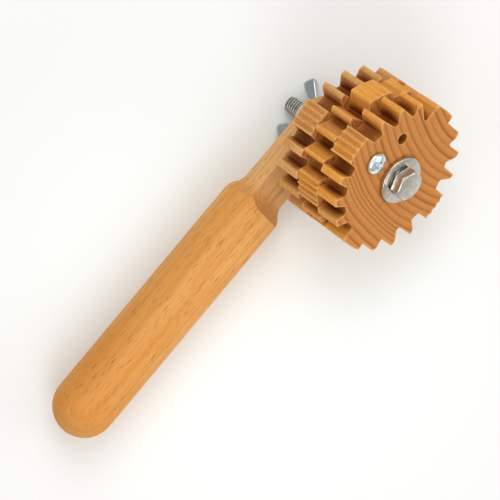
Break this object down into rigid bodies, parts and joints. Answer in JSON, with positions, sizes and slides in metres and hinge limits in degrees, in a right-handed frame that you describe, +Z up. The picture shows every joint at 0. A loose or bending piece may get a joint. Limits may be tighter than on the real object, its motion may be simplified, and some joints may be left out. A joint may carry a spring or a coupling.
{
  "type": "clay texture wheel",
  "caption": "Hand tool for texturing clay: toothed wooden wheels pinned side by side roll on a bolt at the end of a turned wooden handle, clamped by a wing nut.",
  "frame": {"origin": "middle of the footprint on the table, with the tool lying on the bolt's tail, the rear wheel's rim and the butt of the handle", "axes": "+X from the butt towards the wheels, level; +Y towards the tail of the bolt; +Z up. The bolt's head leans towards -Y and up."},
  "size_m": [0.2134, 0.0804, 0.0786],
  "materials": {
    "handle_wood": "oiled beech with short dark flecks along the grain",
    "wheel_wood": "oiled softwood with dark growth rings on the faces",
    "steel": "plain stainless steel",
    "zinc": "bright zinc plating"
  },
  "bodies": {
    "frame": {"handle": "handle_wood", "axle_bolt": "steel", "front_washer": "steel", "inner_washer": "zinc", "lock_nut": "zinc"},
    "roller": {"front_gear": "wheel_wood", "middle_gear": "wheel_wood", "rear_gear": "wheel_wood"},
    "screw": {"lock_screw": "zinc"},
    "clamp_washer": {"outer_washer": "zinc"},
    "wing": {"wing_nut": "zinc"}
  },
  "joints": [
    {"name": "roller_spin", "type": "hinge", "parent": "frame", "child": "roller", "pos_m": [0.0705, -0.0017, 0.0393], "axis": [-0.0091, -0.7323, 0.6809], "continuous": true},
    {"name": "lock_screw_draw", "type": "slide", "parent": "roller", "child": "screw", "axis": [-0.0091, -0.7323, 0.6809], "range_m": [0, 0.012]},
    {"name": "wing_nut_travel", "type": "slide", "parent": "frame", "child": "clamp_washer", "axis": [0.0091, 0.7323, -0.6809], "range_m": [0, 0.00425]},
    {"name": "wing_nut_turn", "type": "hinge", "parent": "clamp_washer", "child": "wing", "pos_m": [0.07088, 0.02806, 0.01162], "axis": [0.0091, 0.7323, -0.6809], "range_deg": [0, 1080]}
  ],
  "couplings": [
    {"joint": "wing_nut_travel", "follows": "wing_nut_turn", "m_per_rad": 0.00022457}
  ]
}
